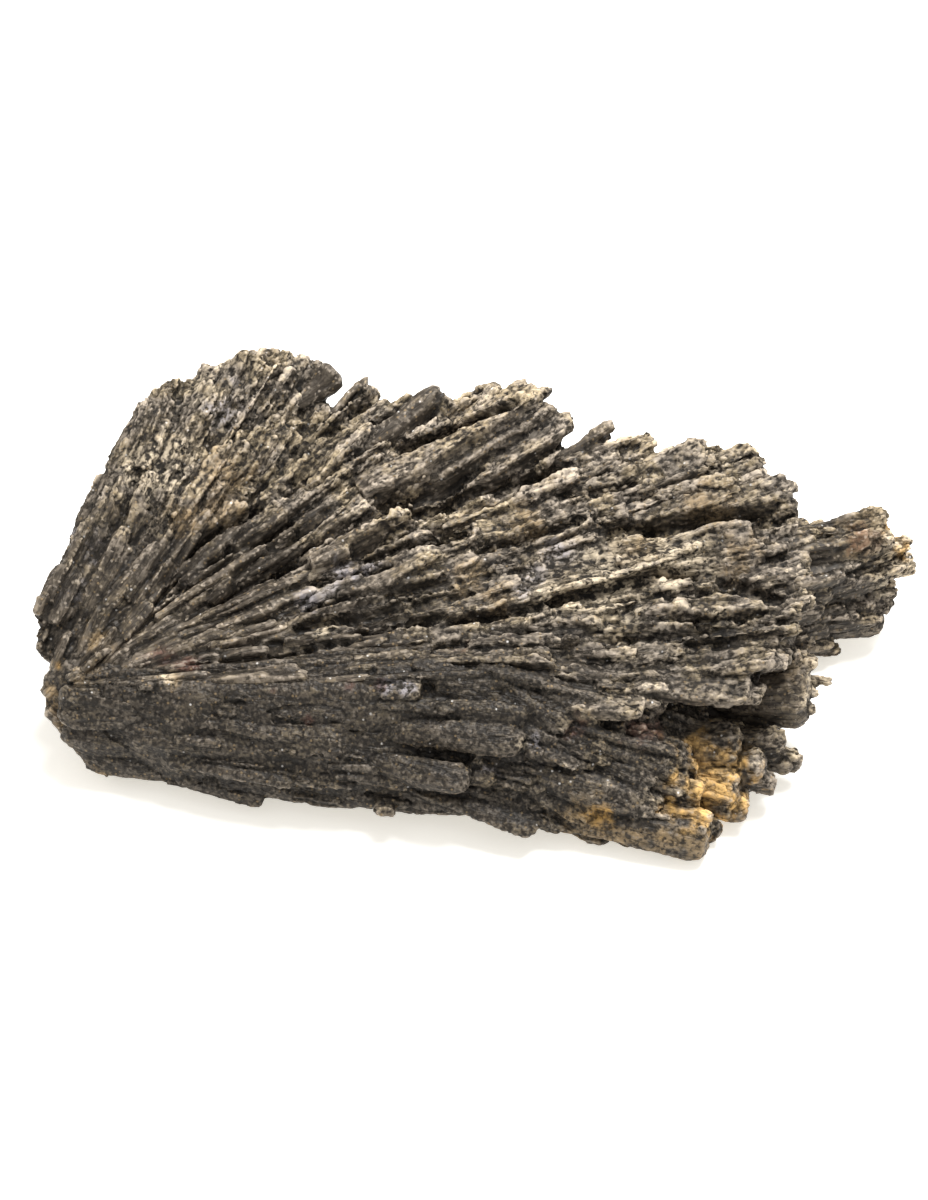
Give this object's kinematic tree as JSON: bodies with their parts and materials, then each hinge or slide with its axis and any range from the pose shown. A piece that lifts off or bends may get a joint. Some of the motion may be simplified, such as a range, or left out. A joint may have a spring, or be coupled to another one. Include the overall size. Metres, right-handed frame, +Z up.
{
  "type": "black kyanite crystal fan",
  "caption": "Rough fan-shaped mineral specimen: dark, splintery kyanite blades grown together from one root, lying on its broad underside.",
  "frame": {"origin": "on the surface that the specimen rests on, below the middle of its bounding box", "axes": "+X along the fan from its root to its blade tips, +Y to the high back edge, +Z up"},
  "size_m": [0.111, 0.058, 0.0325],
  "materials": {
    "kyanite": "rough, splintery, dark grey-brown, with a slight glint on clean blade faces"
  },
  "bodies": {
    "root": {"black_kyanite": "kyanite"}
  },
  "joints": []
}
